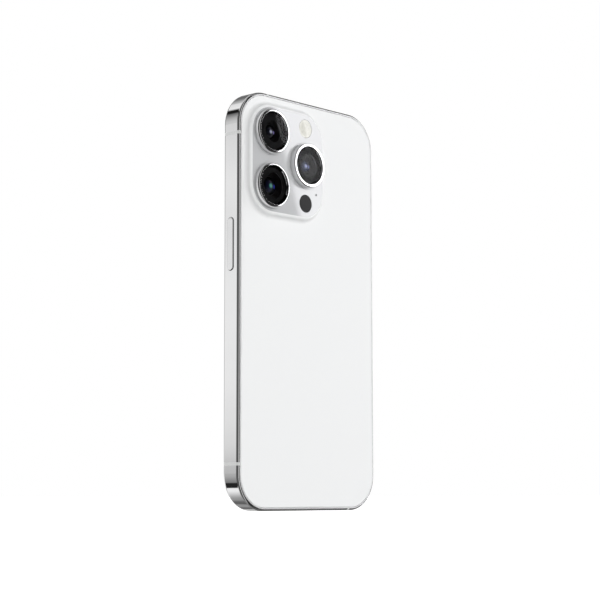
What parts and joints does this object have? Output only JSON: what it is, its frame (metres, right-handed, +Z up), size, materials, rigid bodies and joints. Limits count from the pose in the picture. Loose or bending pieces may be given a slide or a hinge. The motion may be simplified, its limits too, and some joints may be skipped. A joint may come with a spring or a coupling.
{
  "type": "smartphone",
  "caption": "Slim glass-backed smartphone with a polished steel band, a raised camera plateau with round lenses, side buttons and a card tray.",
  "frame": {"origin": "centre of the bottom of the bounding box, with the phone standing upright on its bottom edge", "axes": "+Z up the phone, +Y out of its back (the camera side), +X out of its side-button side"},
  "size_m": [0.0722, 0.012, 0.1475],
  "materials": {
    "polished_steel": "polished stainless steel, mirror bright with a faint warm tint",
    "button_steel": "polished stainless steel",
    "antenna_plastic": "off-white glass-filled plastic, polished flush",
    "frosted_back_glass": "white-backed glass; satin over the back, glossy on the camera plateau",
    "front_glass": "clear toughened glass",
    "lens_cover_crystal": "clear synthetic crystal with a dark printed rim",
    "lens_element_glass": "coated optical glass",
    "black_lens_metal": "matt black anodised metal",
    "camera_module_metal": "sandblasted die-cast housing",
    "flash_diffuser": "frosted cream diffuser over the emitters",
    "dark_sensor_glass": "infrared-passing black window",
    "display": "black organic light-emitting panel, switched off",
    "sensor_module": "black moulded modules",
    "circuit_board": "dark solder mask",
    "adhesive": "black die-cut adhesive",
    "steel_sheet": "thin nickel-plated steel sheet",
    "black_polymer": "moulded black polymer",
    "steel_mesh": "woven black steel mesh",
    "screw_steel": "bright machine screws",
    "gold_contact": "gold-plated contacts",
    "aluminium_plate": "bead-blasted sheet",
    "copper_coil": "flat-wound enamelled copper",
    "magnet_nickel": "nickel-plated magnets",
    "ferrite": "dark ferrite sheet",
    "battery_pouch": "black-wrapped aluminium pouch",
    "tungsten": "sintered tungsten block"
  },
  "bodies": {
    "phone": {"band_right": "polished_steel", "band_left": "polished_steel", "band_top_right": "polished_steel", "band_top_left": "polished_steel", "band_bottom_right": "polished_steel", "band_bottom_left": "polished_steel", "ultrawide_lens_ring": "polished_steel", "main_lens_ring": "polished_steel", "telephoto_lens_ring": "polished_steel", "antenna_breaks": "antenna_plastic", "back_glass": "frosted_back_glass", "front_glass": "front_glass", "ultrawide_lens_cover": "lens_cover_crystal", "main_lens_cover": "lens_cover_crystal", "telephoto_lens_cover": "lens_cover_crystal", "ultrawide_camera_housing": "camera_module_metal", "main_camera_housing": "camera_module_metal", "telephoto_camera_housing": "camera_module_metal", "flash_window": "flash_diffuser", "depth_sensor_window": "dark_sensor_glass", "display_panel": "display", "front_camera": "sensor_module", "face_sensor": "sensor_module", "depth_sensor_module": "sensor_module", "rear_microphone": "sensor_module", "flash_board": "circuit_board", "logic_board_lower": "circuit_board", "logic_board_upper": "circuit_board", "dock_board": "circuit_board", "board_spacer_frame": "circuit_board", "back_glass_seal": "adhesive", "display_seal": "adhesive", "camera_bracket": "steel_sheet", "button_switches": "steel_sheet", "card_reader": "steel_sheet", "haptic_case": "steel_sheet", "charging_port": "steel_sheet", "mute_switch_case": "black_polymer", "loudspeaker": "black_polymer", "earpiece_speaker": "black_polymer", "acoustic_meshes": "steel_mesh", "bottom_screws": "screw_steel", "port_contacts": "gold_contact", "back_plate": "aluminium_plate", "charging_coil": "copper_coil", "magnet_ring": "magnet_nickel", "coil_shield": "ferrite", "battery": "battery_pouch"},
    "side_button": {"side_button": "button_steel"},
    "volume_up_button": {"volume_up_button": "button_steel"},
    "volume_down_button": {"volume_down_button": "button_steel"},
    "mute_slider": {"mute_slider": "button_steel"},
    "card_tray": {"card_tray": "button_steel"},
    "ultrawide_lens": {"ultrawide_lens_barrel": "black_lens_metal", "ultrawide_front_element": "lens_element_glass"},
    "main_lens": {"main_lens_barrel": "black_lens_metal", "main_front_element": "lens_element_glass"},
    "telephoto_lens": {"telephoto_lens_barrel": "black_lens_metal", "telephoto_front_element": "lens_element_glass"},
    "haptic_mass": {"haptic_mass": "tungsten"}
  },
  "joints": [
    {"name": "side_button_press", "type": "slide", "parent": "phone", "child": "side_button", "axis": [-1, 0, 0], "range_m": [0, 0.00025], "stiffness_N_per_m": 4000, "springref_m": -0.0001},
    {"name": "volume_up_press", "type": "slide", "parent": "phone", "child": "volume_up_button", "axis": [1, 0, 0], "range_m": [0, 0.00025], "stiffness_N_per_m": 4000, "springref_m": -0.0001},
    {"name": "volume_down_press", "type": "slide", "parent": "phone", "child": "volume_down_button", "axis": [1, 0, 0], "range_m": [0, 0.00025], "stiffness_N_per_m": 4000, "springref_m": -0.0001},
    {"name": "mute_slide", "type": "slide", "parent": "phone", "child": "mute_slider", "axis": [0, 1, 0], "range_m": [0, 0.0011]},
    {"name": "card_tray_slide", "type": "slide", "parent": "phone", "child": "card_tray", "axis": [-1, 0, 0], "range_m": [0, 0.019]},
    {"name": "ultrawide_focus", "type": "slide", "parent": "phone", "child": "ultrawide_lens", "axis": [0, 1, 0], "range_m": [0, 0.0003], "stiffness_N_per_m": 500},
    {"name": "main_focus", "type": "slide", "parent": "phone", "child": "main_lens", "axis": [0, 1, 0], "range_m": [0, 0.0003], "stiffness_N_per_m": 500},
    {"name": "telephoto_focus", "type": "slide", "parent": "phone", "child": "telephoto_lens", "axis": [0, 1, 0], "range_m": [0, 0.0003], "stiffness_N_per_m": 500},
    {"name": "haptic_shake", "type": "slide", "parent": "phone", "child": "haptic_mass", "axis": [1, 0, 0], "range_m": [-0.0005, 0.0005], "stiffness_N_per_m": 3000}
  ]
}
